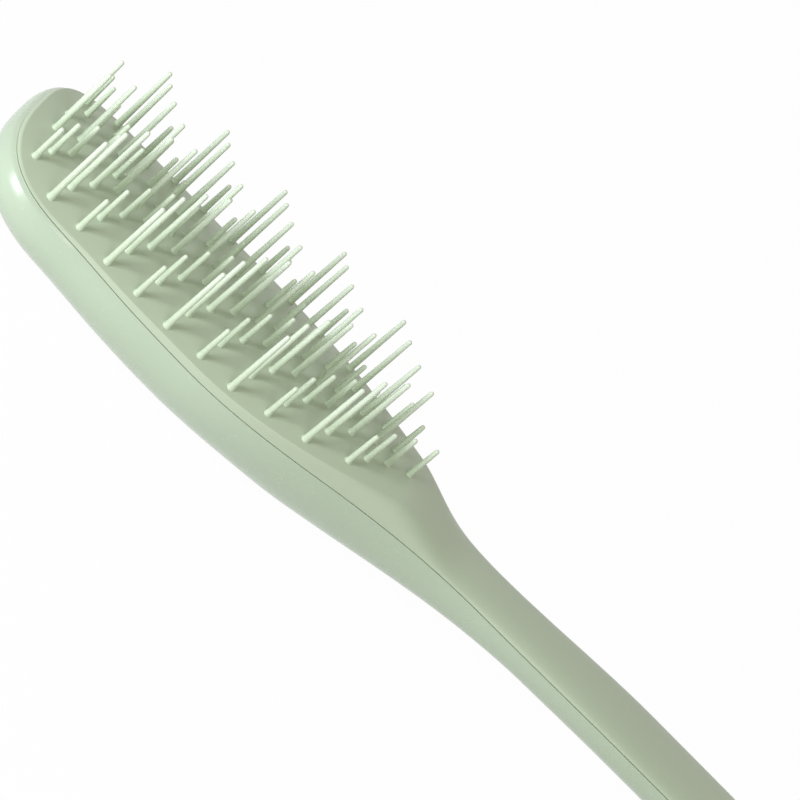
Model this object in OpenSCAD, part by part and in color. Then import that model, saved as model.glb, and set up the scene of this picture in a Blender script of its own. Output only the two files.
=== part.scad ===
// Detangling brush with a crowned oval head and a slim handle.
// A hollow rear shell and a front moulding meet along a seam that runs round the whole brush.
// A softer pad lies flush in the front moulding and carries two tiers of tapered teeth.
// The brush lies on its back: teeth along +Z, head towards +Y, symmetry plane X = 0.
// The origin is at the bottom centre of the bounding box.

/* [Overall] */
// Length from the tip of the head to the end of the handle
length = 225; // [205:1:260]

/* [Head] */
// Width of the head along the seam at its widest
head_width = 49; // [48:0.2:52]
// Width of the head along the seam where its rounded tip begins
shoulder_width = 47.7; // [44:0.2:48.4]
// Length of the rounded tip of the head
tip_length = 23; // [20:0.5:30]
// Distance from the tip to the widest place
widest_at = 43; // [38:1:56]
// How far the rear shell swells out below the seam at the tip
shell_swell = 3.9; // [2:0.1:4.4]
// Depth of the rear shell below the seam
head_depth = 18.2; // [14:0.1:26]
// How far the back turns up at the tip
tip_upturn = 3; // [1:0.1:3.4]
// How far the seam rises towards the tip
seam_rise = 1.5; // [0.8:0.1:1.6]
// Height of the middle of the face above the seam
head_crown = 4.95; // [4.8:0.05:6]
// Radius of the crowned face across the head
crown_radius = 72; // [68:1:120]
// Width of the rounded edge of the face along the head
edge_width = 1.6; // [1.5:0.1:2.6]

/* [Neck and handle] */
// Distance from the tip to where the head starts to narrow
neck_start = 59.5; // [56:0.5:68]
// Distance from the tip to the narrowest place
neck_end = 139.5; // [128:0.5:146]
// Width of the neck
neck_width = 17; // [15:0.2:22]
// Width of the grip
grip_width = 19.8; // [17:0.2:26]
// Depth of the rear shell below the seam along the handle
grip_depth = 8.6; // [7.6:0.1:12]
// Width of the rounded edge of the handle front
grip_edge_width = 6.5; // [4:0.1:7]
// How far the seam dips at the neck
neck_dip = 1.25; // [0:0.05:1.5]
// How far the face falls from the head to the neck
face_fall = 4.4; // [3:0.1:4.6]
// How far the handle front rises again towards the grip
grip_rise = 1.2; // [0.6:0.1:2]
// Length of the rounded end of the handle
end_length = 13; // [9:0.5:18]

/* [Shells] */
// Wall of the rear shell
rear_wall = 2.2; // [1.6:0.1:3]
// Wall of the front moulding
front_wall = 2.6; // [2.4:0.1:3]
// Width of the land on which the two shells meet
rim_land = 0.9; // [0.9:0.1:1.4]
// Depth of the lip that goes down inside the rear shell
lip_depth = 2.8; // [2.6:0.1:3.2]
// Wall of that lip
lip_wall = 1.2; // [0.9:0.1:1.6]
// Diameter of the pins that join the shells
pin_d = 3; // [2.4:0.1:3.6]
// Wall of the sockets that take the pins
socket_wall = 1.5; // [1.1:0.1:2]
// Thickness of the ribs in the rear shell
rib_wall = 1.4; // [1:0.1:2]

/* [Tooth pad] */
// Thickness of the pad
pad_wall = 1.2; // [1.1:0.1:1.5]
// Room between the pad and the rounded edge of the face
pad_margin = 0.1; // [0.1:0.1:0.6]
// Distance from the tip to the far end of the pad
pad_end = 110.8; // [110.6:0.1:111.4]
// Length of the rounded far end of the pad
pad_end_length = 30; // [26:1:34]
// Diameter of the pegs that hold the pad from behind
peg_d = 2.4; // [1.8:0.1:3]

/* [Teeth] */
// Length of the long teeth
long_tooth = 17.8; // [14:0.1:22]
// Length of the short teeth
short_tooth = 9.1; // [6:0.1:12]
// Diameter of a tooth above its flared root
tooth_d = 1.5; // [1.2:0.05:1.8]
// Diameter of the round tip of a tooth
tooth_tip_d = 1.04; // [0.8:0.02:1.2]
// Diameter of the flare where a tooth leaves the pad
tooth_root_d = 1.9; // [1.8:0.05:2.4]
// Height of that flare
tooth_root_h = 1.1; // [0.6:0.1:1.6]
// Distance between neighbouring teeth of a row
tooth_pitch = 6.5; // [6:0.05:6.6]
// Turn of the row from one tooth to the next, in degrees
tooth_turn_angle = 13; // [12:0.1:13.5]
// Lean of a long row where it leaves the centre line, in degrees
long_lean_angle = 60; // [58:0.5:61]
// Lean of a short row where it leaves the centre line, in degrees
short_lean_angle = 61; // [59:0.5:62]

/* [Hidden] */

// Running clearance of everything that fits in or on something else
fit_gap = 0.1;
// Overrun of a cut past the face that it opens
overrun = 1;
// How far a boss, rib or tooth reaches into the wall that carries it
bite = 0.7;

// Roundness of the head tip, the handle end, the rear section and the pad end: 2 is an ellipse
tip_power = 2.8;
end_power = 2.2;
back_power = 2.3;
pad_power = 2.6;

// Height of the seam along the head, and of the middle of the face
seam_level = head_depth;
face_level = head_depth + head_crown;

// Distances from the tip at which the sizes start and end to change
rise_end = 62;
swell_end = 90;
grip_full = 186;
dip_start = 95;
depth_start = 90;
depth_end = 157;
fall_start = 109;
fall_end = 131;
edge_start = 80;
edge_end = 130;

// Share of the depth at which the swell is full, and how quickly it gets there
swell_share = 0.7;
swell_power = 0.7;
// How much of the crown the seam follows round the tip
tip_lift_share = 0.75;

// Teeth on each side of the centre line, row by row from the tip
long_side_count = [1, 4, 4, 4, 4, 3];
short_side_count = [4, 4, 4, 4, 4, 3];
// Place of each row along the centre line, as a share of the pad's far end
long_row_shares = [0.103, 0.262, 0.415, 0.572, 0.734, 0.887];
short_row_shares = [0.195, 0.34, 0.496, 0.657, 0.82, 0.979];
// Place across of the last tooth of each row, as a share of the pad's half width there
long_across_shares = [0.168, 0.896, 0.943, 0.946, 0.94, 0.894];
short_across_shares = [0.678, 0.907, 0.937, 0.92, 0.908, 0.813];

// Pins along the centre line and ribs across the rear shell, as shares of the length
pin_shares = [0.13, 0.39, 0.63, 0.765, 0.9];
rib_shares = [0.1, 0.205, 0.267, 0.33, 0.46, 0.54];
// Pegs under the pad: places along as shares of the pad's far end, and across as shares of its half width
peg_shares = [0.145, 0.47, 0.865];
peg_across_shares = [0.42, 0.55, 0.5];
peg_places = peg_shares * pad_end;

// Steps of the outline round the tip, along one side and round the end
tip_steps = 9;
side_steps = 34;
end_steps = 6;
// Steps of a section: round the edge of the face, across the face, and round the back
edge_steps = 4;
face_steps = 4;
back_angles = [0, 1.5, 5, 11, 20, 30, 40, 50, 60, 70, 80];
back_steps = len(back_angles);
// First of those steps that is clear of the rim's shelf inside
inner_step = 5;
// Share of the half width at which the last step is flat across the centre line
flat_share = 0.1;
// Angle at which the round tip of a tooth ends in a flat, and its steps up to there
tip_angle = 70;
tooth_tip_steps = 2;
round_fn = 32;
crown_fn = 240;

rear_colour = "#c8dac6";
front_colour = "#b4c4a8";
pad_colour = "#bccbb0";

// Clamped, smooth rise from 0 to 1
function smooth(t) = let (c = max(0, min(1, t))) c * c * (3 - 2 * c);
function between(d, from, to) = smooth((d - from) / (to - from));

// Sizes along the brush at a distance d from the tip of the head
function body_half(d) =
    (shoulder_width + (head_width - shoulder_width) * between(d, tip_length, widest_at)
    - (head_width - neck_width) * between(d, neck_start, neck_end)
    + (grip_width - neck_width) * between(d, neck_end, grip_full)) / 2;
function tip_rise(d) = 1 - between(d, 0, rise_end);
function depth(d) = head_depth - tip_upturn * tip_rise(d)
    - (head_depth - grip_depth) * between(d, depth_start, depth_end);
function edge(d) = edge_width + (grip_edge_width - edge_width) * between(d, edge_start, edge_end);
function swell(d) = shell_swell * (1 - between(d, 0, swell_end));
// How far the seam lies below its level; towards the tip it lies above
function dip(d) = neck_dip * (between(d, dip_start, neck_end) - between(d, neck_end, grip_full))
    - seam_rise * tip_rise(d);

// Drop of the crown at a place x across, and the height of the crowned face there
function crown_drop(x) = crown_radius - sqrt(pow(crown_radius, 2) - pow(x, 2));
function face_z(x, d) = face_level - crown_drop(x)
    - face_fall * between(d, fall_start, fall_end) + grip_rise * between(d, fall_end, grip_full);

// Height of the seam at a point [x, d] of the outline, raised with the crown round the tip
function tip_lift(p) = p[1] < tip_length
    ? tip_lift_share * (crown_drop(body_half(tip_length)) - crown_drop(p[0])) : 0;
function seam_z(p) = seam_level - dip(p[1]) + tip_lift(p);

// Quarter of a rounded outline: from the tip at angle 0 to the full half width at 90
function rounded(angle, half, run, power) =
    [half * pow(sin(angle), 2 / power), run * (1 - pow(cos(angle), 2 / power))];

// Step by step down the back: share of the half width, of the depth and of the swell
function back_share(step) =
    step == back_steps ? flat_share : pow(cos(back_angles[step]), 2 / back_power);
function back_fall(step) = pow(1 - pow(back_share(step), back_power), 1 / back_power);
function swelling(step) = pow(sin(90 * min(1, back_fall(step) / swell_share)), swell_power);

// How far the swollen shell reaches beyond the tip of the seam, from which distances are counted
reach = max([for (k = [0 : back_steps])
    (tip_length + shell_swell * swelling(k)) * back_share(k) - tip_length]);
tip_y = length / 2 - reach;
body_length = length - reach;
pin_places = pin_shares * body_length;
rib_places = rib_shares * body_length;

// Right half of the plan outline of the seam as points [x, d], tip and end included
brush_right = concat(
    [for (i = [0 : tip_steps - 1])
        rounded(90 * i / tip_steps, body_half(tip_length), tip_length, tip_power)],
    [for (i = [0 : side_steps])
        let (d = tip_length + (body_length - end_length - tip_length) * i / side_steps)
        [body_half(d), d]],
    [for (i = [end_steps - 1 : -1 : 0])
        let (p = rounded(90 * i / end_steps, body_half(body_length), end_length, end_power))
        [p[0], body_length - p[1]]]);

// Right half of the plan outline of the pad, inside the rounded edge of the face
tip_inset = edge_width + pad_margin;
pad_side_end = pad_end - pad_end_length;
function pad_half(d) = body_half(d) - edge(d) - pad_margin;
pad_right = concat(
    [for (i = [0 : tip_steps - 1])
        let (p = rounded(90 * i / tip_steps, pad_half(tip_length), tip_length - tip_inset, tip_power))
        [p[0], p[1] + tip_inset]],
    [for (i = [0 : tip_steps])
        let (d = tip_length + (pad_side_end - tip_length) * i / tip_steps)
        [pad_half(d), d]],
    [for (i = [tip_steps - 1 : -1 : 0])
        let (p = rounded(90 * i / tip_steps, 1, pad_end_length, pad_power))
        [p[0] * pad_half(pad_end - p[1]), pad_end - p[1]]]);

// A closed outline from its right half: down the right side and back up the left
function closed(right) =
    concat(right, [for (i = [len(right) - 2 : -1 : 1]) [-right[i][0], right[i][1]]]);

// Direction inwards at each point of a closed outline
function inwards(outline) = [for (i = [0 : len(outline) - 1])
    let (n = len(outline), run = outline[(i + 1) % n] - outline[(i + n - 1) % n])
    [-run[1], run[0]] / norm(run)];

brush_outline = closed(brush_right);
brush_inwards = inwards(brush_outline);
brush_seam = [for (p = brush_outline) seam_z(p)];
last_point = len(brush_outline) - 1;

// The outline moved inwards by a distance, and a loop swollen as at a step down the back
function inset(by) = brush_outline + by * brush_inwards;
function swollen(loop, step) = [for (i = [0 : last_point])
    loop[i] - swell(max(0, brush_outline[i][1])) * swelling(step) * brush_inwards[i]];

// A loop drawn in towards the spine of the brush, to a share of its half width
function drawn_in(loop, share) = [for (p = loop)
    let (focus = max(tip_length, min(body_length - end_length, p[1])))
    [p[0] * share, focus + (p[1] - focus) * share]];

// Points of a loop in space: at the seam less a drop, on the face less a drop, or on the back
function at_seam(loop, drop) = [for (i = [0 : last_point])
    [loop[i][0], tip_y - loop[i][1], brush_seam[i] - drop]];
function on_face(loop, drop) = [for (p = loop)
    [p[0], tip_y - p[1], face_z(p[0], p[1]) - drop]];
function on_back(loop, share, wall) = [for (i = [0 : last_point])
    let (p = drawn_in([loop[i]], share)[0],
        lift = tip_lift(brush_outline[i]) * share,
        fall = pow(1 - pow(share, back_power), 1 / back_power))
    [p[0], tip_y - p[1], seam_level - dip(p[1]) + lift - (depth(p[1]) - wall) * fall]];

// A loop on the rounded edge of the face, at an angle from the seam to the face
function on_edge(angle) = [for (i = [0 : last_point])
    let (p = brush_outline[i] + (1 - cos(angle)) * (face_outline[i] - brush_outline[i]),
        seam = brush_seam[i])
    [p[0], tip_y - p[1], seam + (face_z(face_outline[i][0], face_outline[i][1]) - seam) * sin(angle)]];
face_outline = [for (i = [0 : last_point])
    brush_outline[i] + edge(brush_outline[i][1]) * brush_inwards[i]];

// Share of the half width from the edge of the face to the centre line
function face_share(step) = 1 - (1 - flat_share) * step / face_steps;

// A loop on the rear surface; the last one lies level with the centre line
function back_loop(loop, step, wall) =
    step < back_steps ? on_back(swollen(loop, step), back_share(step), wall)
    : [for (p = drawn_in(swollen(loop, step), flat_share))
        [p[0], tip_y - p[1], seam_level - dip(p[1]) - depth(p[1]) + wall]];

// A solid whose skin is a row of like loops, closed by a ladder of faces at each end
module skin(loops) {
    n = len(loops[0]);
    half = n / 2;
    last = (len(loops) - 1) * n;
    sides = [for (k = [0 : len(loops) - 2], i = [0 : n - 1])
        let (a = k * n + i, b = k * n + (i + 1) % n)
        each [[a, a + n, b], [b, a + n, b + n]]];
    ladder = concat([[0, 1, n - 1]], [[half - 1, half, half + 1]],
        [for (i = [1 : half - 2]) each [[i, i + 1, n - i], [i + 1, n - i - 1, n - i]]]);
    polyhedron(
        points = [for (loop = loops) each loop],
        faces = concat(sides, ladder,
            [for (f = ladder) [f[2] + last, f[1] + last, f[0] + last]]),
        convexity = 8);
}

// Something that stands at a place x across and d from the tip, at a height z
module stand(x, d, z) {
    translate([x, tip_y - d, z]) children();
}

// Rear shell: a bowl with a stepped rim, ribs across it and sockets for the pins
module rear_shell() {
    rim = inset(rim_land - fit_gap);
    inner = inset(rear_wall);
    shelf_drop = lip_depth + fit_gap;
    color(rear_colour) difference() {
        union() {
            skin(concat(
                [for (k = [back_steps : -1 : inner_step]) back_loop(inner, k, rear_wall)],
                [at_seam(inner, shelf_drop), at_seam(rim, shelf_drop), at_seam(rim, 0)],
                [for (k = [0 : back_steps]) back_loop(brush_outline, k, 0)]));
            for (d = rib_places) rear_rib(d);
            for (d = pin_places) socket(d);
        }
        for (d = pin_places)
            stand(0, d, pin_end_z(d) - fit_gap)
                cylinder(d = pin_d + 2 * fit_gap, h = depth(d), $fn = round_fn);
    }
}

// Heights along the centre line: of the rear wall inside, of the end of a pin, and of a socket's mouth
function floor_z(d) = seam_level - dip(d) - depth(d) + rear_wall;
function pin_end_z(d) = floor_z(d) + pin_d / 2;
function socket_z(d) = floor_z(d) + (depth(d) - rear_wall) * 2 / 3;

module socket(d) {
    stand(0, d, floor_z(d) - bite)
        cylinder(d = pin_d + 2 * socket_wall, h = socket_z(d) - floor_z(d) + bite, $fn = round_fn);
}

// A rib that stands on the rear wall and stops well below the front moulding
module rear_rib(d) {
    half = body_half(d) + swell(d) - rear_wall + bite;
    deep = depth(d) - rear_wall + bite;
    stand(0, d - rib_wall / 2, 0) rotate([90, 0, 0]) linear_extrude(rib_wall)
        intersection() {
            polygon([for (a = [0 : 10 : 180])
                [half * sign(cos(a)) * pow(abs(cos(a)), 2 / back_power),
                    seam_level - dip(d) - deep * pow(sin(a), 2 / back_power)]]);
            translate([-half, 0]) square([2 * half, floor_z(d) + deep / 3]);
        }
}

// Front moulding: crowned face, neck and handle front in one, with a lip, pins and the pad's pocket
module front_shell() {
    lip_inner = inset(rim_land + lip_wall);
    color(front_colour) difference() {
        union() {
            skin(concat(
                [for (k = [face_steps : -1 : 1]) on_face(drawn_in(face_outline, face_share(k)), 0)],
                [for (k = [edge_steps : -1 : 0]) on_edge(90 * k / edge_steps)],
                [at_seam(inset(rim_land), 0), at_seam(inset(rim_land), lip_depth),
                    at_seam(lip_inner, lip_depth)],
                [for (k = [0 : face_steps])
                    on_face(drawn_in(lip_inner, face_share(k)), front_wall)]));
            for (d = pin_places) pin(d);
        }
        pad_slice(pad_wall + fit_gap, -fit_gap, overrun);
        for (i = [0 : len(peg_places) - 1], side = [-1, 1])
            stand(side * peg_x(i), peg_places[i], seam_level)
                cylinder(d = peg_d + 2 * fit_gap, h = head_crown + overrun, $fn = round_fn);
    }
}

module pin(d) {
    stand(0, d, pin_end_z(d))
        cylinder(d = pin_d, h = face_z(0, d) - front_wall + bite - pin_end_z(d), $fn = round_fn);
}

// A slice of the crowned face in the outline of the pad: its depth, its inset and its rise above the face
module pad_slice(deep, by, rise) {
    outline = closed(pad_right) + by * inwards(closed(pad_right));
    intersection() {
        translate([0, 0, seam_level - overrun]) linear_extrude(head_crown + rise + overrun)
            polygon([for (p = outline) [p[0], tip_y - p[1]]]);
        translate([0, length / 2, face_level - crown_radius]) rotate([90, 0, 0]) difference() {
            cylinder(r = crown_radius + rise, h = length, $fn = crown_fn);
            translate([0, 0, -overrun])
                cylinder(r = crown_radius - deep, h = length + 2 * overrun, $fn = crown_fn);
        }
    }
}

// Pad and teeth in one soft moulding, with pegs that go through the front moulding
module tooth_pad() {
    color(pad_colour) {
        pad_slice(pad_wall, 0, 0);
        for (row = [0 : len(long_side_count) - 1]) {
            tooth_row(long_row_shares[row] * pad_end, long_side_count[row],
                long_lean_angle, long_across_shares[row], long_tooth);
            tooth_row(short_row_shares[row] * pad_end, short_side_count[row],
                short_lean_angle, short_across_shares[row], short_tooth);
        }
        for (i = [0 : len(peg_places) - 1], side = [-1, 1]) peg(side * peg_x(i), peg_places[i]);
    }
}

function peg_x(i) = pad_half(peg_places[i]) * peg_across_shares[i];

// A peg with a head that snaps behind the front moulding
module peg(x, d) {
    behind_z = face_z(x, d) - front_wall - fit_gap;
    stand(x, d, behind_z - peg_d) {
        cylinder(d1 = peg_d, d2 = peg_d * 4 / 3, h = peg_d, $fn = round_fn);
        cylinder(d = peg_d, h = peg_d + fit_gap + front_wall - pad_wall + bite, $fn = round_fn);
    }
}

// A row of teeth: two arcs that leave the centre line at a lean and turn level at the sides
module tooth_row(d, side_count, lean, across_share, height) {
    arc = tooth_pitch / (2 * sin(tooth_turn_angle / 2));
    last = lean - side_count * tooth_turn_angle;
    last_x = across_share * pad_half(d - arc * (cos(last) - cos(lean)));
    for (j = [-side_count : side_count]) {
        turned = lean - abs(j) * tooth_turn_angle;
        x = sign(j) * last_x * (sin(lean) - sin(turned)) / (sin(lean) - sin(last));
        along = arc * (cos(turned) - cos(lean));
        stand(x, d - along, face_z(x, d - along)) tooth(height);
    }
}

// A tapered tooth with a flared root and a round tip
module tooth(height) {
    tip_r = tooth_tip_d / 2;
    flare = (tooth_root_d - tooth_d) / 2 / tooth_root_h;
    rotate_extrude($fn = round_fn)
        polygon(concat([[0, -bite], [tooth_root_d / 2 + flare * bite, -bite],
                [tooth_d / 2, tooth_root_h]],
            [for (a = [0 : tip_angle / tooth_tip_steps : tip_angle])
                [tip_r * cos(a), height - tip_r * (sin(tip_angle) - sin(a))]],
            [[0, height]]));
}

rear_shell();
front_shell();
tooth_pad();
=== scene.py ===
from math import acos, asin, copysign, cos, hypot, pi, radians, sin, sqrt

import bmesh
import bpy
from mathutils import Matrix, Vector


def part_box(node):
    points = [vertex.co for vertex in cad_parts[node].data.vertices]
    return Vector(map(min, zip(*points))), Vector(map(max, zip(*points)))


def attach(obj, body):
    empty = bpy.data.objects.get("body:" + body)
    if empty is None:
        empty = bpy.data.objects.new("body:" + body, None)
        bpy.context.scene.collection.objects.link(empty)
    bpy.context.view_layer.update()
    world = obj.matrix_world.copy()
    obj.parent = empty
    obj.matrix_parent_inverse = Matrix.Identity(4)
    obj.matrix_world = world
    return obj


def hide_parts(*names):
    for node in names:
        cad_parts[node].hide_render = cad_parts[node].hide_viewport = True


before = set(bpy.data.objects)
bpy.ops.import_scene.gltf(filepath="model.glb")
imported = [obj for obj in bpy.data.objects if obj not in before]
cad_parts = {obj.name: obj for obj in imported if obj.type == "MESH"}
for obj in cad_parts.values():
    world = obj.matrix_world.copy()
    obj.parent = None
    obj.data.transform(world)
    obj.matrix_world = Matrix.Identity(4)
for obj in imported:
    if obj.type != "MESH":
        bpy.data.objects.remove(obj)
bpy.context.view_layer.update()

# View and studio. The brush lies on its back on a pale table, teeth up, and the camera looks
# down on it from beside the head, turned on its side so that the handle runs to the lower right.
scene = bpy.context.scene
scene.view_settings.view_transform = "Standard"

EYE = Vector((-0.5394, 0.1122, 0.3341))
LOOKING = Vector((0.8634, -0.1549, -0.4801))
PICTURE_UP = Vector((0.4377, 0.7031, 0.5604))
FIELD_OF_VIEW = radians(15.048)


def looking(eye, direction, up):
    """Placement of a camera or lamp at eye that looks along direction."""
    back = -direction.normalized()
    right = up.cross(back).normalized()
    turn = Matrix((right, back.cross(right), back)).transposed()
    return Matrix.Translation(eye) @ turn.to_4x4()


camera = bpy.data.objects.new("camera", bpy.data.cameras.new("camera"))
camera.data.sensor_fit = "HORIZONTAL"
camera.data.angle = FIELD_OF_VIEW
camera.data.clip_start = 0.01
camera.matrix_world = looking(EYE, LOOKING, PICTURE_UP)
scene.collection.objects.link(camera)
scene.camera = camera


class Wire:
    """A shader socket that can be added to, taken from and multiplied."""

    def __init__(self, finish, socket):
        self.finish = finish
        self.socket = socket

    def joined(self, operation, *values):
        return self.finish.node("ShaderNodeMath", {"operation": operation}, dict(enumerate(values)))

    def __add__(self, other):
        return self.joined("ADD", self, other)

    def __mul__(self, other):
        return self.joined("MULTIPLY", self, other)

    def __sub__(self, other):
        return self.joined("SUBTRACT", self, other)

    def __rsub__(self, other):
        return self.joined("SUBTRACT", other, self)

    __radd__ = __add__
    __rmul__ = __mul__


class Finish:
    """The node tree of a material or of the world."""

    def __init__(self, owner):
        owner.use_nodes = True
        self.tree = owner.node_tree
        self.tree.nodes.clear()

    def node(self, kind, settings=None, sockets=None, output=0):
        """Adds a node with its settings and its sockets' values or wires, and gives one output."""
        made = self.tree.nodes.new(kind)
        for name, value in (settings or {}).items():
            setattr(made, name, value)
        for name, value in (sockets or {}).items():
            if isinstance(value, Wire):
                self.tree.links.new(value.socket, made.inputs[name])
            else:
                made.inputs[name].default_value = value
        return Wire(self, made.outputs[output]) if made.outputs else None


def seen_directly(finish):
    """1 for camera, mirror and see-through rays, 0 for light that falls on things."""
    straight, mirrored, through = (
        finish.node("ShaderNodeLightPath", output=f"Is {kind} Ray")
        for kind in ("Camera", "Glossy", "Transmission"))
    return straight.joined("MAXIMUM", straight, mirrored.joined("MAXIMUM", mirrored, through))


# The room is white to the eye, and gives a weaker and slightly warm light from all around
WHITE = (1, 1, 1, 1)
ROOM_LIGHT = {"Color": (1.0, 0.965, 0.87, 1), "Strength": 0.385}
scene.world = bpy.data.worlds.new("studio")
studio = Finish(scene.world)
room = studio.node("ShaderNodeBackground", sockets=ROOM_LIGHT)
backdrop = studio.node("ShaderNodeBackground", sockets={"Color": WHITE, "Strength": 1.0})
light = studio.node("ShaderNodeMixShader", sockets={0: seen_directly(studio), 1: room, 2: backdrop})
studio.node("ShaderNodeOutputWorld", sockets={"Surface": light})

# The table glows nearly white to the eye, so that only a trace of the shadow is left on it
TABLE_REACH = 4.0
TABLE_GREY = (0.95, 0.95, 0.95, 1)
TABLE_GLOW = 0.975
table_mesh = bpy.data.meshes.new("table")
corners = [(TABLE_REACH * x, TABLE_REACH * y, 0) for x, y in ((-1, -1), (1, -1), (1, 1), (-1, 1))]
table_mesh.from_pydata(corners, [], [(0, 1, 2, 3)])
table = bpy.data.objects.new("table", table_mesh)
scene.collection.objects.link(table)
table_top = bpy.data.materials.new("table top")
top = Finish(table_top)
paint = top.node("ShaderNodeBsdfDiffuse", sockets={"Color": TABLE_GREY})
glow = top.node("ShaderNodeEmission", sockets={"Color": WHITE, "Strength": 1.0})
shown = top.node(
    "ShaderNodeMixShader", sockets={0: seen_directly(top) * TABLE_GLOW, 1: paint, 2: glow})
top.node("ShaderNodeOutputMaterial", sockets={"Surface": shown})
table_mesh.materials.append(table_top)

# Soft boxes: a key beyond the head's near side that shows in the gloss, a large weak fill on the
# handle's side, and a small one above that gives the light line along the front moulding's edge
HEAD_MIDDLE = Vector((0, 0.05, 0.02))
UPWARDS = Vector((0, 0, 1))
SOFT_BOXES = {
    "key": {"towards": (-0.65, 0.7, 0.3), "distance": 0.55, "size": (0.2, 0.32),
            "power": 2.5, "colour": (0.96, 1.0, 1.08)},
    "fill": {"towards": (-0.75, -0.5, 0.45), "distance": 1.0, "size": (0.9, 0.9),
             "power": 1.2, "colour": (1, 1, 1)},
    "line": {"towards": (-0.62, -0.155, 0.77), "distance": 0.9, "size": (0.2, 0.2),
             "power": 0.75, "colour": (1, 1, 1)},
}
for name, box in SOFT_BOXES.items():
    lamp = bpy.data.lights.new(name, "AREA")
    lamp.shape = "RECTANGLE"
    lamp.size, lamp.size_y = box["size"]
    lamp.energy = box["power"]
    lamp.color = box["colour"]
    holder = bpy.data.objects.new(name, lamp)
    towards = Vector(box["towards"]).normalized()
    holder.matrix_world = looking(HEAD_MIDDLE + towards * box["distance"], -towards, UPWARDS)
    scene.collection.objects.link(holder)

# Back shell: one hollow moulding of glossy rigid plastic from the head's tip to the handle's
# end. Its stepped rim takes the front moulding's lip, and ribs and sockets for the pins stand
# on its inside. Places along the brush are distances d from the tip of the seam.
MM = 0.001
END_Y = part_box("rear_shell")[0].y
seam_near, seam_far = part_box("front_shell")
TIP_Y = seam_far.y
BODY_LENGTH = TIP_Y - END_Y

# Outline seen from above
HEAD_WIDTH = seam_far.x - seam_near.x
SHOULDER_WIDTH, TIP_LENGTH, TIP_POWER = 47.7 * MM, 23 * MM, 2.8
WIDEST_AT = 43 * MM
NECK_WIDTH, NECK_START, NECK_END = 17 * MM, 59.5 * MM, 139.5 * MM
GRIP_WIDTH, GRIP_FULL = 19.8 * MM, 186 * MM
END_LENGTH, END_POWER = 13 * MM, 2.2
STRAIGHT_END = BODY_LENGTH - END_LENGTH

# Seam and back seen from the side, and the back's curve from the seam to the spine
HEAD_DEPTH, GRIP_DEPTH = 17.8 * MM, 8.2 * MM
DEPTH_START, DEPTH_END = 85 * MM, 157 * MM
TIP_UPTURN, SEAM_RISE, RISE_END = 2.4 * MM, 2.3 * MM, 62 * MM
NECK_DIP, DIP_START = 1.25 * MM, 95 * MM
CROWN_RADIUS, LIFT_SHARE = 80 * MM, 0.78
SHELL_SWELL, SWELL_END = 3.45 * MM, 90 * MM
SWELL_SHARE, SWELL_POWER = 0.7, 0.7
BACK_POWER = 2.3
FLAT_SHARE = 0.05
FLAT_ANGLE = acos(FLAT_SHARE ** (BACK_POWER / 2))

# Wall, stepped rim, and the fine groove that shows as the seam
REAR_WALL = 2.2 * MM
RIM_LAND = 0.9 * MM
LIP_DEPTH = 2.8 * MM
SEAM_GAP, SEAM_STEP, RIM_ROUND = 0.2 * MM, 0.09 * MM, 0.1 * MM

TIP_STEPS, SIDE_STEPS, END_STEPS, BACK_STEPS, ROUND_STEPS = 22, 104, 16, 26, 4


def between(d, start, end):
    """Smooth rise from 0 at start to 1 at end."""
    t = min(max((d - start) / (end - start), 0), 1)
    return t * t * (3 - 2 * t)


def body_half(d):
    """Half width of the brush at a distance d from the head's tip."""
    return (SHOULDER_WIDTH + (HEAD_WIDTH - SHOULDER_WIDTH) * between(d, TIP_LENGTH, WIDEST_AT)
            - (HEAD_WIDTH - NECK_WIDTH) * between(d, NECK_START, NECK_END)
            + (GRIP_WIDTH - NECK_WIDTH) * between(d, NECK_END, GRIP_FULL)) / 2


def depth(d):
    """Depth of the back below the seam."""
    return (HEAD_DEPTH - TIP_UPTURN * (1 - between(d, 0, RISE_END))
            - (HEAD_DEPTH - GRIP_DEPTH) * between(d, DEPTH_START, DEPTH_END))


def level(d):
    """Height of the seam, without its lift round the tip."""
    return (HEAD_DEPTH + SEAM_RISE * (1 - between(d, 0, RISE_END))
            - NECK_DIP * (between(d, DIP_START, NECK_END) - between(d, NECK_END, GRIP_FULL)))


def floor_z(d):
    """Height of the shell's inner face along the spine."""
    return level(d) - depth(d) + REAR_WALL


def swell(d):
    """How far the shell swells out below the seam."""
    return SHELL_SWELL * (1 - between(d, 0, SWELL_END))


def crown_drop(x):
    """How far the crowned face falls from the centre line to a place x across."""
    return CROWN_RADIUS - sqrt(CROWN_RADIUS ** 2 - x ** 2)


def tip_lift(x, d):
    """How far the seam lifts round the tip, where it follows the crowned face."""
    if d >= TIP_LENGTH:
        return 0
    return LIFT_SHARE * (crown_drop(body_half(TIP_LENGTH)) - crown_drop(x))


def rounded(share, across, along, power):
    """Point of a rounded corner, from the far point at share 0 to the full width at 1."""
    angle = share * pi / 2
    return across * sin(angle) ** (2 / power), along * (1 - cos(angle) ** (2 / power))


def right_half():
    """The right half of the outline from above as points (x, d), from the tip to the end."""
    tip = [rounded(i / TIP_STEPS, body_half(TIP_LENGTH), TIP_LENGTH, TIP_POWER)
           for i in range(TIP_STEPS)]
    stations = [TIP_LENGTH + (STRAIGHT_END - TIP_LENGTH) * i / SIDE_STEPS
                for i in range(SIDE_STEPS + 1)]
    end = [rounded(i / END_STEPS, body_half(BODY_LENGTH), END_LENGTH, END_POWER)
           for i in reversed(range(END_STEPS))]
    return tip + [(body_half(d), d) for d in stations] + [(x, BODY_LENGTH - d) for x, d in end]


def closed(right):
    """A right half and its mirror image as one closed outline."""
    return right + [(-x, d) for x, d in right[-2:0:-1]]


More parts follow.
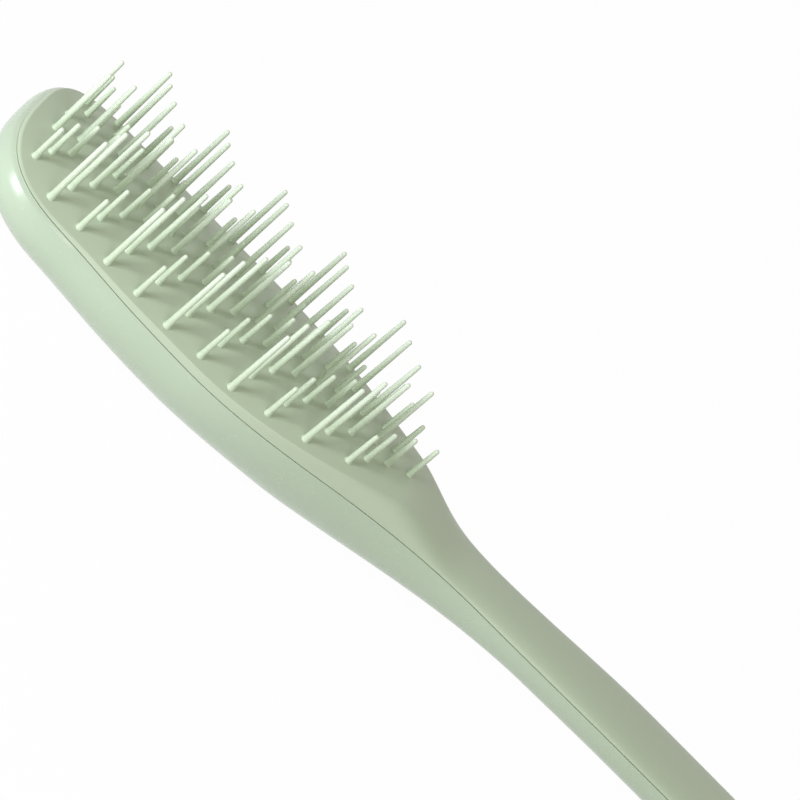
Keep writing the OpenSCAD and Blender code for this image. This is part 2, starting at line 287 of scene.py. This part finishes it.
def inwards(outline):
    """Unit vectors that point into a closed outline, one for each of its points."""
    found = []
    for i in range(len(outline)):
        before, after = outline[i - 1], outline[(i + 1) % len(outline)]
        run = (after[0] - before[0], after[1] - before[1])
        found.append((-run[1] / hypot(*run), run[0] / hypot(*run)))
    return found


OUTLINE = closed(right_half())
INWARDS = inwards(OUTLINE)
SEAM = [level(d) + tip_lift(x, d) for x, d in OUTLINE]


def inset(by, swelling=0):
    """The outline moved inwards, and outwards by a share of the shell's swell."""
    return [(x + (by - swell(d) * swelling) * nx, d + (by - swell(d) * swelling) * nd)
            for (x, d), (nx, nd) in zip(OUTLINE, INWARDS)]


def drawn_in(loop, share, last_focus=STRAIGHT_END):
    """A loop drawn in towards the spine of the brush, to a share of its half width."""
    found = []
    for x, d in loop:
        focus = min(max(d, TIP_LENGTH), last_focus)
        found.append((x * share, focus + (d - focus) * share))
    return found


def in_space(loop, heights):
    """A loop of points (x, d) and its heights as points in the scene."""
    return [(x, TIP_Y - d, z) for (x, d), z in zip(loop, heights)]


def rim_loop(by, drop):
    """A loop inset from the outline by a distance, at a drop below the seam."""
    return in_space(inset(by), [z - drop for z in SEAM])


def back_loop(angle, wall):
    """A loop on the shell's outer face, or a wall inside it, at an angle from seam to spine."""
    share = cos(angle) ** (2 / BACK_POWER)
    fall = (1 - share ** BACK_POWER) ** (1 / BACK_POWER)
    swollen = sin(pi / 2 * min(1, fall / SWELL_SHARE)) ** SWELL_POWER
    drawn = drawn_in(inset(wall, swollen), share)
    heights = [level(d) + tip_lift(*start) * share - (depth(d) - wall) * fall
               for start, (_, d) in zip(OUTLINE, drawn)]
    return in_space(drawn, heights)


def skin(loops):
    """Points and faces of a closed solid through like loops, with a ladder across each end."""
    count = len(loops[0])
    points = [point for loop in loops for point in loop]
    last = len(points) - count
    faces = []
    for row in range(0, last, count):
        for i in range(count):
            here, after = row + i, row + (i + 1) % count
            faces.append((here, here + count, after + count, after))
    ladder = [(0, 1, count - 1), (count // 2 - 1, count // 2, count // 2 + 1)]
    ladder += [(i, i + 1, count - i - 1, count - i) for i in range(1, count // 2 - 1)]
    return points, faces + ladder + [tuple(last + i for i in reversed(rung)) for rung in ladder]


def bands(rings, count):
    """Faces between rings of count points each."""
    faces = []
    for row in range(0, (rings - 1) * count, count):
        for i in range(count):
            here, after = row + i, row + (i + 1) % count
            faces.append((here, after, after + count, here + count))
    return faces


def turned(profile, centre, steps=24):
    """Points and faces of a solid turned about an upright line, its profile from the bottom up."""
    x, y = centre
    angles = [2 * pi * i / steps for i in range(steps)]
    points = [(x + r * cos(angle), y + r * sin(angle), z) for r, z in profile for angle in angles]
    last = len(points) - steps
    ends = [tuple(reversed(range(steps))), tuple(range(last, last + steps))]
    return points, bands(len(profile), steps) + ends


SHARP_FROM = radians(32)
SAME_PLACE = 0.002 * MM


def piece(name, solids, sharp_from=SHARP_FROM):
    """A smooth-shaded mesh object from several sets of points and faces, doubles merged."""
    mesh = bpy.data.meshes.new(name)
    points, faces = [], []
    for more_points, more_faces in solids:
        start = len(points)
        points += more_points
        faces += [tuple(start + i for i in face) for face in more_faces]
    mesh.from_pydata(points, [], faces)
    work = bmesh.new()
    work.from_mesh(mesh)
    bmesh.ops.remove_doubles(work, verts=work.verts, dist=SAME_PLACE)
    bmesh.ops.dissolve_degenerate(work, edges=work.edges, dist=SAME_PLACE)
    bmesh.ops.recalc_face_normals(work, faces=work.faces)
    work.to_mesh(mesh)
    work.free()
    mesh.shade_smooth()
    mesh.set_sharp_from_angle(angle=sharp_from)
    made = bpy.data.objects.new(name, mesh)
    scene.collection.objects.link(made)
    return made


# Pins of the front moulding, their sockets, and the ribs, all of which bite into what they join
PIN_PLACES = [share * BODY_LENGTH for share in (0.13, 0.39, 0.63, 0.765, 0.9)]
PIN_R = 1.5 * MM
FIT_GAP = 0.1 * MM
BITE = 0.7 * MM
SOCKET_WALL = 1.5 * MM
SOCKET_HEIGHT_SHARE = 2 / 3
RIB_PLACES = [share * BODY_LENGTH for share in (0.1, 0.205, 0.267, 0.33, 0.46, 0.54)]
RIB_WALL = 1.4 * MM
RIB_TOP_SHARE = 2 / 3


def socket(d):
    """A tube that stands on the rear wall and takes a pin."""
    outer_r, bore_r = PIN_R + SOCKET_WALL, PIN_R + FIT_GAP
    foot, bore_end = floor_z(d) - BITE, floor_z(d) + PIN_R - FIT_GAP
    mouth = floor_z(d) + (depth(d) - REAR_WALL) * SOCKET_HEIGHT_SHARE
    tube = [(outer_r, foot), (outer_r, mouth), (bore_r, mouth), (bore_r, bore_end)]
    return turned(tube, (0, TIP_Y - d))


def rib(d, steps=16):
    """A thin plate across the shell that ends well below the front moulding."""
    across = body_half(d) + swell(d) - REAR_WALL + BITE
    deep = depth(d) - REAR_WALL + BITE
    start = asin((RIB_TOP_SHARE - BITE / deep) ** (BACK_POWER / 2))
    angles = [start + (pi / 2 - start) * i / steps for i in range(steps + 1)]
    power = 2 / BACK_POWER
    side = [(across * cos(angle) ** power, level(d) - deep * sin(angle) ** power)
            for angle in angles]
    ring = side + [(-x, z) for x, z in reversed(side[:-1])]
    points = [(x, TIP_Y - d + s * RIB_WALL / 2, z) for s in (-1, 1) for x, z in ring]
    count = len(ring)
    ends = [tuple(reversed(range(count))), tuple(range(count, 2 * count))]
    return points, bands(2, count) + ends


# The loops of the shell run from its inner face over the stepped rim and down its outer face.
# They crowd towards the rim, and the inner ones start below the step.
RIM_TURN = radians(1.8)
INNER_START = radians(29)
CROWDING = 1.5
back_angles = [RIM_TURN + (pi / 2 - RIM_TURN) * (k / BACK_STEPS) ** CROWDING
               for k in range(BACK_STEPS)] + [FLAT_ANGLE]
rim_angles = [pi / 2 * k / ROUND_STEPS for k in range(ROUND_STEPS + 1)]
shell_loops = [back_loop(angle, REAR_WALL)
               for angle in reversed(back_angles) if angle > INNER_START]
shell_loops += [rim_loop(REAR_WALL, LIP_DEPTH + FIT_GAP),
                rim_loop(RIM_LAND - FIT_GAP, LIP_DEPTH + FIT_GAP),
                rim_loop(RIM_LAND - FIT_GAP, SEAM_GAP / 2)]
shell_loops += [rim_loop(RIM_ROUND * (1 - sin(angle)), SEAM_GAP / 2 + RIM_ROUND * (1 - cos(angle)))
                for angle in rim_angles]
shell_loops += [back_loop(angle, 0) for angle in back_angles]
rear_shell = piece("rear_shell_moulding", [
    skin(shell_loops), *(socket(d) for d in PIN_PLACES), *(rib(d) for d in RIB_PLACES)])

PLASTIC_IOR = 1.49
FLOW_SCALE, HAZE_SCALE = 38.0, 160.0
HAZE_RELIEF = 0.6
HAZE_ROUGHNESS = 0.12


def noise(finish, place, scale, detail, roughness):
    """A noise pattern of a material."""
    sockets = {"Vector": place, "Scale": scale, "Detail": detail, "Roughness": roughness}
    return finish.node("ShaderNodeTexNoise", sockets=sockets)


def mixed_colour(finish, factor, colour, other):
    """A colour that goes over into another; 6 and 7 are the Mix node's two colours."""
    sockets = {"Factor": factor, 6: (*colour, 1), 7: (*other, 1)}
    return finish.node("ShaderNodeMix", {"data_type": "RGBA"}, sockets, output=2)


def plastic(name, colour, tint, roughness, grain, grain_depth, coat=0.0):
    """Moulded plastic: faint flow marks in the colour, uneven gloss and the mould's fine grain."""
    made = bpy.data.materials.new(name)
    finish = Finish(made)
    place = finish.node("ShaderNodeTexCoord", output="Object")
    flow = noise(finish, place, FLOW_SCALE, detail=3.0, roughness=0.55)
    haze = noise(finish, place, HAZE_SCALE, detail=4.0, roughness=0.6)
    fine = noise(finish, place, grain, detail=2.0, roughness=0.5)
    normal = finish.node("ShaderNodeBump", sockets={
        "Height": fine + haze * HAZE_RELIEF, "Distance": grain_depth, "Strength": 1.0})
    surface = finish.node("ShaderNodeBsdfPrincipled", sockets={
        "Base Color": mixed_colour(finish, flow, colour, tint),
        "Roughness": (haze - 0.5) * HAZE_ROUGHNESS + roughness, "Normal": normal,
        "IOR": PLASTIC_IOR, "Coat Weight": coat, "Coat Roughness": 0.1})
    finish.node("ShaderNodeOutputMaterial", sockets={"Surface": surface})
    return made


gloss = plastic("gloss_plastic", (0.442, 0.532, 0.396), (0.458, 0.547, 0.411), roughness=0.26,
                grain=700.0, grain_depth=0.002 * MM, coat=0.18)
rear_shell.data.materials.append(gloss)
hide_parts("rear_shell")
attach(rear_shell, "root")

# Front moulding: the satin frame of the face, the neck and the handle's front in one piece of
# rigid plastic. Its edge is rounded, a lip under it goes down inside the back shell, pins hold
# it there, and the tooth pad lies in a pocket in its face.
FACE_LEVEL, FACE_RISE = HEAD_DEPTH + 5.35 * MM, 0.7 * MM
FACE_FALL, FALL_START, FALL_END = 4.4 * MM, 109 * MM, 131 * MM
GRIP_RISE = 1.2 * MM
EDGE_WIDTH, GRIP_EDGE_WIDTH, EDGE_START, EDGE_END = 1.6 * MM, 6.5 * MM, 80 * MM, 130 * MM
HEAD_ROUND_SHARE, HEAD_ROUND_POWER = 0.44, 1.8
SEAM_CROWDING = 1.6
FRONT_WALL = 2.6 * MM
LIP_WALL = 1.2 * MM
PAD_WALL, PAD_MARGIN = 1.2 * MM, 0.1 * MM
PAD_END, PAD_END_LENGTH, PAD_POWER = 110.8 * MM, 30 * MM, 2.6
PAD_SIDE_STEPS, PAD_END_STEPS, ACROSS_STEPS, LADDER_STEPS = 28, 26, 22, 14


def edge(d):
    """Width of the frame between the outline and the pad, and of the handle's rounding."""
    return EDGE_WIDTH + (GRIP_EDGE_WIDTH - EDGE_WIDTH) * between(d, EDGE_START, EDGE_END)


def face_z(x, d):
    """Height of the crowned face at a place x across and d from the tip."""
    return (FACE_LEVEL + FACE_RISE * (1 - between(d, 0, RISE_END)) - crown_drop(x)
            - FACE_FALL * between(d, FALL_START, FALL_END)
            + GRIP_RISE * between(d, FALL_END, GRIP_FULL))


def pad_half(d):
    """Half width of the pad."""
    return body_half(d) - edge(d) - PAD_MARGIN


def head_pairs():
    """Pairs of points on the right half of the head: on the outline, and on the pad's edge."""
    pairs = []
    tip_inset = EDGE_WIDTH + PAD_MARGIN
    for share in (i / TIP_STEPS for i in range(TIP_STEPS)):
        outer = rounded(share, body_half(TIP_LENGTH), TIP_LENGTH, TIP_POWER)
        x, d = rounded(share, pad_half(TIP_LENGTH), TIP_LENGTH - tip_inset, TIP_POWER)
        pairs.append((outer, (x, d + tip_inset)))
    side_end = PAD_END - PAD_END_LENGTH
    for i in range(PAD_SIDE_STEPS):
        d = TIP_LENGTH + (side_end - TIP_LENGTH) * i / PAD_SIDE_STEPS
        pairs.append(((body_half(d), d), (pad_half(d), d)))
    for i in reversed(range(PAD_END_STEPS + 1)):
        x_share, up = rounded(i / PAD_END_STEPS, 1, PAD_END_LENGTH, PAD_POWER)
        d = PAD_END - up
        pairs.append(((body_half(d), d), (x_share * pad_half(d), d)))
    return pairs


def handle_pairs():
    """Pairs of points on the right half of the handle: on the outline, and on the centre line."""
    pairs = []
    steps = round((STRAIGHT_END - PAD_END) / (STRAIGHT_END - TIP_LENGTH) * SIDE_STEPS)
    for i in range(1, steps + 1):
        d = PAD_END + (STRAIGHT_END - PAD_END) * i / steps
        pairs.append(((body_half(d), d), (0, d)))
    for i in reversed(range(END_STEPS)):
        x, up = rounded(i / END_STEPS, body_half(BODY_LENGTH), END_LENGTH, END_POWER)
        pairs.append(((x, BODY_LENGTH - up), (0, STRAIGHT_END)))
    return pairs


def stepped_in(pairs):
    """The pairs with the front moulding a hair inside the rim, so that the seam shows as a line."""
    directions = inwards(closed([outer for outer, _ in pairs]))
    return [((x + SEAM_STEP * nx, d + SEAM_STEP * nd), inner)
            for ((x, d), inner), (nx, nd) in zip(pairs, directions)]


PAIRS = stepped_in(head_pairs() + handle_pairs())
FACE_OUTLINE = closed([outer for outer, _ in PAIRS])
FACE_INWARDS = inwards(FACE_OUTLINE)
PAD_OUTLINE = closed([inner for _, inner in head_pairs()])
LADDER_SHARES = [1 - (1 - FLAT_SHARE) * k / LADDER_STEPS for k in range(LADDER_STEPS + 1)]


def face_point(outer, inner, share):
    """A point of the face between the seam and the pad's edge, rounded over near the seam."""
    along = share ** SEAM_CROWDING
    x, d = (a + (b - a) * along for a, b in zip(outer, inner))
    handle = between(outer[1], EDGE_START, EDGE_END)
    round_width = edge(outer[1]) * (HEAD_ROUND_SHARE + (1 - HEAD_ROUND_SHARE) * handle)
    seam = level(outer[1]) + tip_lift(*outer) + SEAM_GAP / 2
    width = hypot(outer[0] - inner[0], outer[1] - inner[1])
    left = max(0, 1 - along * width / round_width)
    drop = (1 - handle) * left ** HEAD_ROUND_POWER + handle * (1 - sqrt(1 - left ** 2))
    return x, TIP_Y - d, face_z(x, d) - (face_z(*outer) - seam) * drop


def face_strip(side):
    """The visible face from the seam to the pad's edge or the centre line, on one side."""
    shares = [k / ACROSS_STEPS for k in range(ACROSS_STEPS + 1)]
    rows = [[face_point(outer, inner, share) for share in shares] for outer, inner in PAIRS]
    points = [(side * x, y, z) for row in rows for x, y, z in row]
    count = len(shares)
    faces = []
    for row in range(0, len(points) - count, count):
        for here in range(row, row + ACROSS_STEPS):
            faces.append((here, here + 1, here + count + 1, here + count))
    return points, faces if side > 0 else [tuple(reversed(face)) for face in faces]


def rows_of(loops):
    """Points and faces between like loops, with no faces across the ends."""
    points, faces = skin(loops)
    return points, faces[:(len(loops) - 1) * len(loops[0])]


def ladder_of(loop):
    """Points and faces that close a loop across."""
    points, faces = skin([loop, loop])
    return points, faces[len(loop):len(loop) + len(loop) // 2]


def front_inset(by):
    """The front moulding's outline moved inwards by a distance."""
    return [(x + by * nx, d + by * nd)
            for (x, d), (nx, nd) in zip(FACE_OUTLINE, FACE_INWARDS)]


def lip_loop(by, drop):
    """A loop under the front moulding, inset by a distance, at a drop below the seam."""
    heights = [level(d) + tip_lift(x, d) - drop for x, d in FACE_OUTLINE]
    return in_space(front_inset(by), heights)


def ceiling_loop(share):
    """A loop on the front moulding's inner face, drawn in from the lip."""
    loop = drawn_in(front_inset(RIM_LAND + LIP_WALL), share)
    return in_space(loop, [face_z(x, d) - FRONT_WALL for x, d in loop])


def pad_loop(share, drop):
    """A loop on the pad's face or under it, drawn in from the pad's edge."""
    loop = drawn_in(PAD_OUTLINE, share, PAD_END - PAD_END_LENGTH / 2)
    return in_space(loop, [face_z(x, d) - drop for x, d in loop])


def pin(d):
    """A pin under the front moulding that goes into its socket in the back shell."""
    foot, root = floor_z(d) + PIN_R, face_z(0, d) - FRONT_WALL + BITE
    return turned([(PIN_R, foot), (PIN_R, root)], (0, TIP_Y - d))


lip = [lip_loop(0, -SEAM_GAP / 2), lip_loop(RIM_LAND, -SEAM_GAP / 2),
       lip_loop(RIM_LAND, LIP_DEPTH), lip_loop(RIM_LAND + LIP_WALL, LIP_DEPTH)]
lip += [ceiling_loop(share) for share in LADDER_SHARES]
pocket = [pad_loop(1, 0)] + [pad_loop(share, PAD_WALL) for share in LADDER_SHARES]
front_moulding = piece("front_moulding", [
    face_strip(1), face_strip(-1), rows_of(lip), ladder_of(lip[-1]), rows_of(pocket),
    ladder_of(pocket[-1]), *(pin(d) for d in PIN_PLACES)])
satin = plastic("satin_plastic", (0.454, 0.533, 0.387), (0.471, 0.549, 0.404), roughness=0.38,
                grain=1500.0, grain_depth=0.0015 * MM)
front_moulding.data.materials.append(satin)
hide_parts("front_shell")
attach(front_moulding, "root")

# Tooth pad: a thin soft slab that lies flush in the front moulding's pocket, with pegs that
# snap through its floor. The teeth are moulded in one with it, in the same satin material; their
# own material below has painted light, a colour lighter than the satin for light through the thin
# plastic.
PEG_R = 1.2 * MM
PEG_HEAD_R = 1.6 * MM
PEG_HEAD_LENGTH = 2.4 * MM
PEG_ALONG_SHARES = (0.145, 0.47, 0.865)
PEG_ACROSS_SHARES = (0.42, 0.55, 0.5)


def peg(x, d):
    """A peg with a head that snaps behind the front moulding."""
    behind = face_z(x, d) - FRONT_WALL - FIT_GAP
    root = behind + FRONT_WALL - PAD_WALL
    profile = [(PEG_R, behind - PEG_HEAD_LENGTH), (PEG_HEAD_R, behind), (PEG_R, behind),
               (PEG_R, root)]
    return turned(profile, (x, TIP_Y - d))


pad_loops = [pad_loop(share, 0) for share in reversed(LADDER_SHARES)]
pad_loops += [pad_loop(share, PAD_WALL) for share in LADDER_SHARES]
pegs = [peg(side * across * pad_half(along * PAD_END), along * PAD_END)
        for along, across in zip(PEG_ALONG_SHARES, PEG_ACROSS_SHARES) for side in (-1, 1)]
pad = piece("tooth_pad_slab", [skin(pad_loops), *pegs])
pad.data.materials.append(satin)
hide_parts("tooth_pad")
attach(pad, "root")

# Teeth: tapered pins with a flared root and a round tip, moulded in one with the pad. Long rows
# and short rows take turns, and each row is two arcs that leave the centre line at a lean.
TOOTH_TIP_R = 0.53 * MM
TOOTH_TIP_TURN = pi / 2 / 1.15
ROOT_HEIGHT, ROOT_FLARE = 1.2 * MM, 0.3
FOOT_SINK, FOOT_FLARE = 0.3 * MM, 0.4
TOOTH_SHARP_FROM = radians(70)
TOOTH_PITCH = 6.5 * MM
TOOTH_TURN = radians(13)
LONG_ROWS = {
    "height": 17.8 * MM, "radius": 0.77 * MM, "lean": radians(60),
    "along": (0.103, 0.262, 0.415, 0.572, 0.734, 0.887),
    "each_side": (1, 4, 4, 4, 4, 3),
    "across": (0.168, 0.896, 0.943, 0.946, 0.94, 0.894),
}
SHORT_ROWS = {
    "height": 9.1 * MM, "radius": 0.7 * MM, "lean": radians(61),
    "along": (0.195, 0.34, 0.496, 0.657, 0.82, 0.979),
    "each_side": (4, 4, 4, 4, 4, 3),
    "across": (0.678, 0.907, 0.937, 0.92, 0.908, 0.813),
}


def tooth(height, radius, sides=14, root_steps=5, tip_steps=4):
    """One tooth standing at the origin, its foot sunk below the pad's face."""
    profile = [(radius * (1 + FOOT_FLARE), -FOOT_SINK)]
    for share in (k / root_steps for k in range(root_steps + 1)):
        profile.append((radius * (1 + ROOT_FLARE * (1 - share) ** 2), ROOT_HEIGHT * share))
    for angle in (TOOTH_TIP_TURN * k / tip_steps for k in range(tip_steps + 1)):
        below_top = TOOTH_TIP_R * (1 - sin(angle) / sin(TOOTH_TIP_TURN))
        profile.append((TOOTH_TIP_R * cos(angle), height - below_top))
    return piece(f"tooth_{round(height / MM)}", [turned(profile, (0, 0), sides)], TOOTH_SHARP_FROM)


TOOTH_FLOW_SCALE = 90.0
TOOTH_ROUGHNESS, TOOTH_FLOW_ROUGHNESS = 0.4, 0.1
# Painted light: the teeth's colour is painted paler with height, for the light that shines through
# the thin tips; the flow noise adds a random tone to it.
PAINTED_TIP_LIGHT_SHARE, FLOW_TONE_SHARE = 0.9, 0.2
PAINTED_TIP_LIGHT_FROM = FACE_LEVEL - 2 * MM
PAINTED_TIP_LIGHT_TO = FACE_LEVEL + LONG_ROWS["height"] - 2 * MM


def painted_light_tooth_plastic(name, foot, tip):
    """The pad's plastic on the teeth, a little translucent, its colour painted paler towards the
    tips for the light that shines through them.
    """
    made = bpy.data.materials.new(name)
    finish = Finish(made)
    place = finish.node("ShaderNodeTexCoord", output="Object")
    height = finish.node("ShaderNodeSeparateXYZ", sockets={"Vector": place}, output=2)
    flow = noise(finish, place, TOOTH_FLOW_SCALE, detail=3.0, roughness=0.55)
    up = finish.node("ShaderNodeMapRange", {"interpolation_type": "SMOOTHSTEP"}, {
        "Value": height, "From Min": PAINTED_TIP_LIGHT_FROM, "From Max": PAINTED_TIP_LIGHT_TO, "To Min": 0.0, "To Max": 1.0})
    # Painted light: paler with height for light through the tips, plus the flow marks' random tone.
    painted_tip_light_and_flow = up * PAINTED_TIP_LIGHT_SHARE + (flow - 0.5) * FLOW_TONE_SHARE
    surface = finish.node("ShaderNodeBsdfPrincipled", sockets={
        "Base Color": mixed_colour(finish, painted_tip_light_and_flow, foot, tip),
        "Roughness": (flow - 0.5) * TOOTH_FLOW_ROUGHNESS + TOOTH_ROUGHNESS, "IOR": PLASTIC_IOR,
        "Subsurface Weight": 0.25, "Subsurface Scale": 1 * MM,
        "Subsurface Radius": (0.9, 1.0, 0.8)})
    finish.node("ShaderNodeOutputMaterial", sockets={"Surface": surface})
    return made


# Painted light: the foot colour is painted lighter than the pad's satin and the tip colour paler
# still, both for the light that shines through the thin teeth.
tooth_plastic = painted_light_tooth_plastic("tooth_plastic", foot=(0.57, 0.665, 0.495), tip=(0.69, 0.765, 0.635))


def row_places(d, lean, each_side, across):
    """The places of one row's teeth, the last ones at a share of the pad's half width."""
    arc = TOOTH_PITCH / (2 * sin(TOOTH_TURN / 2))
    last = lean - each_side * TOOTH_TURN
    last_x = across * pad_half(d - arc * (cos(last) - cos(lean)))
    for j in range(-each_side, each_side + 1):
        turn = lean - abs(j) * TOOTH_TURN
        x = copysign(last_x, j) * (sin(lean) - sin(turn)) / (sin(lean) - sin(last)) if j else 0
        along = d - arc * (cos(turn) - cos(lean))
        yield x, TIP_Y - along, face_z(x, along)


def planting(name):
    """A node tree that plants a tooth on each of its places and gives them their finish."""
    tree = bpy.data.node_groups.new(name, "GeometryNodeTree")
    for label, kind in (("Places", "Geometry"), ("Tooth", "Object"), ("Finish", "Material")):
        tree.interface.new_socket(label, in_out="INPUT", socket_type=f"NodeSocket{kind}")
    tree.interface.new_socket("Teeth", in_out="OUTPUT", socket_type="NodeSocketGeometry")
    start, end = tree.nodes.new("NodeGroupInput"), tree.nodes.new("NodeGroupOutput")
    shape = tree.nodes.new("GeometryNodeObjectInfo")
    plant = tree.nodes.new("GeometryNodeInstanceOnPoints")
    real = tree.nodes.new("GeometryNodeRealizeInstances")
    paint = tree.nodes.new("GeometryNodeSetMaterial")
    for source, output, target, entry in (
            (start, "Places", plant, "Points"), (start, "Tooth", shape, "Object"),
            (shape, "Geometry", plant, "Instance"), (plant, "Instances", real, "Geometry"),
            (real, "Geometry", paint, "Geometry"), (start, "Finish", paint, "Material"),
            (paint, "Geometry", end, "Teeth")):
        tree.links.new(source.outputs[output], target.inputs[entry])
    return tree


def tooth_rows(name, rows):
    """All teeth of like rows, planted with Geometry Nodes and made one plain mesh."""
    places = []
    for along, each_side, across in zip(rows["along"], rows["each_side"], rows["across"]):
        places += row_places(along * PAD_END, rows["lean"], each_side, across)
    mesh = bpy.data.meshes.new(name)
    mesh.from_pydata(places, [], [])
    field = bpy.data.objects.new(name, mesh)
    scene.collection.objects.link(field)
    model = tooth(rows["height"], rows["radius"])
    grow = field.modifiers.new("rows", "NODES")
    grow.node_group = planting(name)
    sockets = {item.name: item.identifier for item in grow.node_group.interface.items_tree}
    grow[sockets["Tooth"]] = model
    grow[sockets["Finish"]] = tooth_plastic
    evaluated = field.evaluated_get(bpy.context.evaluated_depsgraph_get())
    grown = bpy.data.meshes.new_from_object(evaluated)
    field.modifiers.clear()
    field.data = grown
    bpy.data.objects.remove(model)
    return field


for name, rows in (("long_teeth", LONG_ROWS), ("short_teeth", SHORT_ROWS)):
    teeth = tooth_rows(name, rows)
    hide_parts("tooth_pad")
    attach(teeth, "root")
